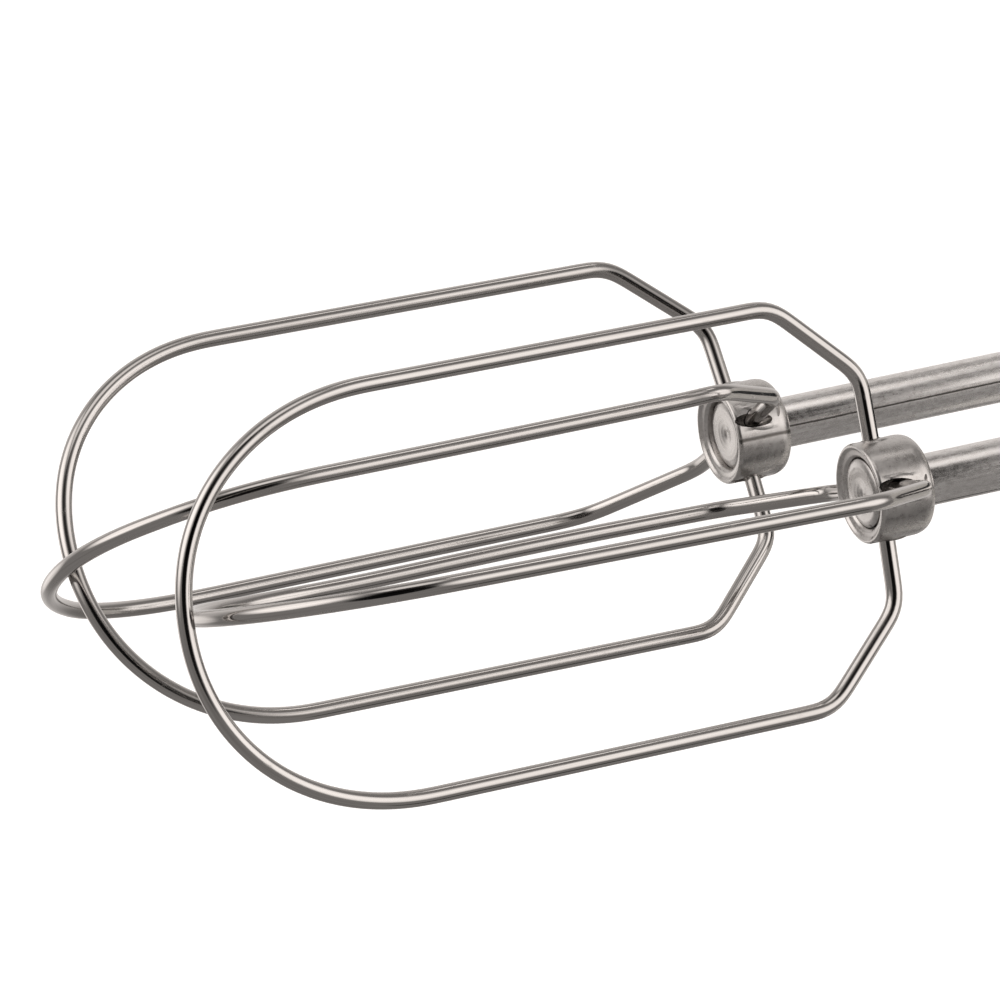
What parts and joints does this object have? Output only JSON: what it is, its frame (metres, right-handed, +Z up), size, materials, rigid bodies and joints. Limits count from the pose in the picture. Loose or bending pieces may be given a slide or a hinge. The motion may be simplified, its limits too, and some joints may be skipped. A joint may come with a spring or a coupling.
{
  "type": "hand mixer",
  "caption": "Hand mixer standing on its heel, with a loop handle, thumb controls, a worm-driven motor and a pair of interleaved wire beaters with steel hubs and round shafts.",
  "frame": {"origin": "the floor contact face of the heel pad, on the motor's axis", "axes": "+Z up from the heel to the nose along the motor's axis, -X the way the beaters point, +X towards the handle, -Y the user's left with the mixer held in use"},
  "size_m": [0.277, 0.0867, 0.199],
  "materials": {
    "wire": "polished drawn stainless wire",
    "shaft": "satin drawn stainless rod, faint lengthwise grain",
    "hub": "turned steel, fine tool marks",
    "shell": "satin moulded shell",
    "dark_plastic": "fine spark texture",
    "control": "satin",
    "grip": "soft-touch, matt",
    "pad": "matt",
    "steel": "ground",
    "lamination": "stamped electrical steel",
    "cast": "die cast",
    "copper": "enamelled copper",
    "brass": "stamped",
    "bronze": "sintered",
    "carbon": "carbon and phenolic board",
    "nylon": "moulded nylon",
    "board": "green solder mask"
  },
  "bodies": {
    "housing": {"housing_left": "shell", "housing_right": "shell", "socket_collar": "dark_plastic", "heel_pad": "pad", "handle_grip": "grip", "cord_inlet": "dark_plastic", "housing_screw_side": "steel", "housing_screw_heel": "steel", "housing_screw_nose": "steel", "housing_screw_handle": "steel", "control_plate": "dark_plastic", "circuit_board": "board", "switch_block": "carbon", "stator_core": "lamination", "field_coil_upper": "copper", "field_coil_lower": "copper", "gear_frame": "cast", "front_bearing": "steel", "rear_bearing": "steel", "nose_bush": "bronze", "rear_bracket": "cast", "brush_card": "carbon", "motor_bolt_left": "steel", "motor_bolt_right": "steel", "brush_holder_left": "brass", "brush_holder_right": "brass", "carbon_brush_left": "carbon", "carbon_brush_right": "carbon", "brush_spring_left": "steel", "brush_spring_right": "steel", "spindle_bush_left": "bronze", "spindle_bush_right": "bronze"},
    "rotor": {"motor_shaft": "steel", "armature_core": "lamination", "armature_windings": "copper", "commutator": "copper", "cooling_fan": "dark_plastic", "drive_worm": "steel"},
    "spindle_left": {"worm_wheel_left": "nylon", "spindle_sleeve_left": "steel", "circlip_left": "steel"},
    "spindle_right": {"worm_wheel_right": "nylon", "spindle_sleeve_right": "steel", "circlip_right": "steel"},
    "pin_left": {"ejector_pin_left": "steel"},
    "pin_right": {"ejector_pin_right": "steel"},
    "beater_left": {"beater_shaft_left": "shaft", "beater_hub_left": "hub", "wire_loop_outer_left": "wire", "wire_loop_inner_left": "wire"},
    "beater_right": {"beater_shaft_right": "shaft", "beater_hub_right": "hub", "wire_loop_outer_right": "wire", "wire_loop_inner_right": "wire"},
    "ejector": {"eject_button": "control", "eject_fork": "nylon", "eject_spring": "steel"},
    "selector": {"speed_selector": "control"},
    "turbo": {"turbo_button": "control"}
  },
  "joints": [
    {"name": "motor_spin", "type": "hinge", "parent": "housing", "child": "rotor", "pos_m": [0, 0, 0.07], "axis": [0, 0, 1], "continuous": true},
    {"name": "spindle_left_spin", "type": "hinge", "parent": "housing", "child": "spindle_left", "pos_m": [0, -0.019, 0.15], "axis": [1, 0, 0], "continuous": true},
    {"name": "spindle_right_spin", "type": "hinge", "parent": "housing", "child": "spindle_right", "pos_m": [0, 0.019, 0.15], "axis": [1, 0, 0], "continuous": true},
    {"name": "pin_left_push", "type": "slide", "parent": "spindle_left", "child": "pin_left", "axis": [-1, 0, 0], "range_m": [0, 0.006]},
    {"name": "pin_right_push", "type": "slide", "parent": "spindle_right", "child": "pin_right", "axis": [-1, 0, 0], "range_m": [0, 0.006]},
    {"name": "beater_left_pull", "type": "slide", "parent": "pin_left", "child": "beater_left", "axis": [-1, 0, 0], "range_m": [0, 0.055]},
    {"name": "beater_right_pull", "type": "slide", "parent": "pin_right", "child": "beater_right", "axis": [-1, 0, 0], "range_m": [0, 0.055]},
    {"name": "eject_press", "type": "slide", "parent": "housing", "child": "ejector", "axis": [-1, 0, 0], "range_m": [0, 0.006], "stiffness_N_per_m": 700, "springref_m": -0.003, "deforming": ["eject_spring"]},
    {"name": "speed_slide", "type": "slide", "parent": "housing", "child": "selector", "axis": [0, 0, 1], "range_m": [0, 0.02]},
    {"name": "turbo_press", "type": "slide", "parent": "housing", "child": "turbo", "axis": [-1, 0, 0], "range_m": [0, 0.0025], "stiffness_N_per_m": 800, "springref_m": -0.001}
  ],
  "couplings": [
    {"joint": "spindle_left_spin", "follows": "motor_spin", "ratio": -0.071429},
    {"joint": "spindle_right_spin", "follows": "motor_spin", "ratio": 0.071429},
    {"joint": "pin_left_push", "follows": "eject_press", "ratio": 1},
    {"joint": "pin_right_push", "follows": "eject_press", "ratio": 1}
  ]
}
